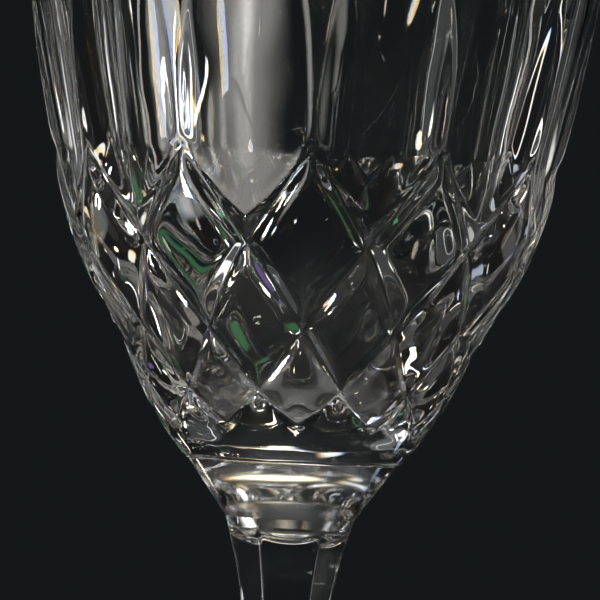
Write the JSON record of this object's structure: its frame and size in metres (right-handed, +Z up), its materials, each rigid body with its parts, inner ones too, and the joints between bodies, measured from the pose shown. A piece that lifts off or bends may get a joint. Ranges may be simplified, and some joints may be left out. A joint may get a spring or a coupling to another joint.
{
  "type": "wine glass",
  "caption": "Clear cut-crystal wine glass: round foot, six-sided stem, and a bowl with upright flutes over a diamond lattice, for serving wine.",
  "frame": {"origin": "centre of the foot's flat underside", "axes": "+Z up along the glass's axis; -Y is the front, where a flute's ridge and one of the stem's flat facets face"},
  "size_m": [0.0802, 0.0802, 0.176],
  "materials": {
    "foot_crystal": "clear, polished",
    "stem_crystal": "clear, cut and polished",
    "bowl_crystal": "clear, cut and polished"
  },
  "bodies": {
    "root": {"foot": "foot_crystal", "stem": "stem_crystal", "bowl_seat": "stem_crystal", "bowl": "bowl_crystal"}
  },
  "joints": []
}
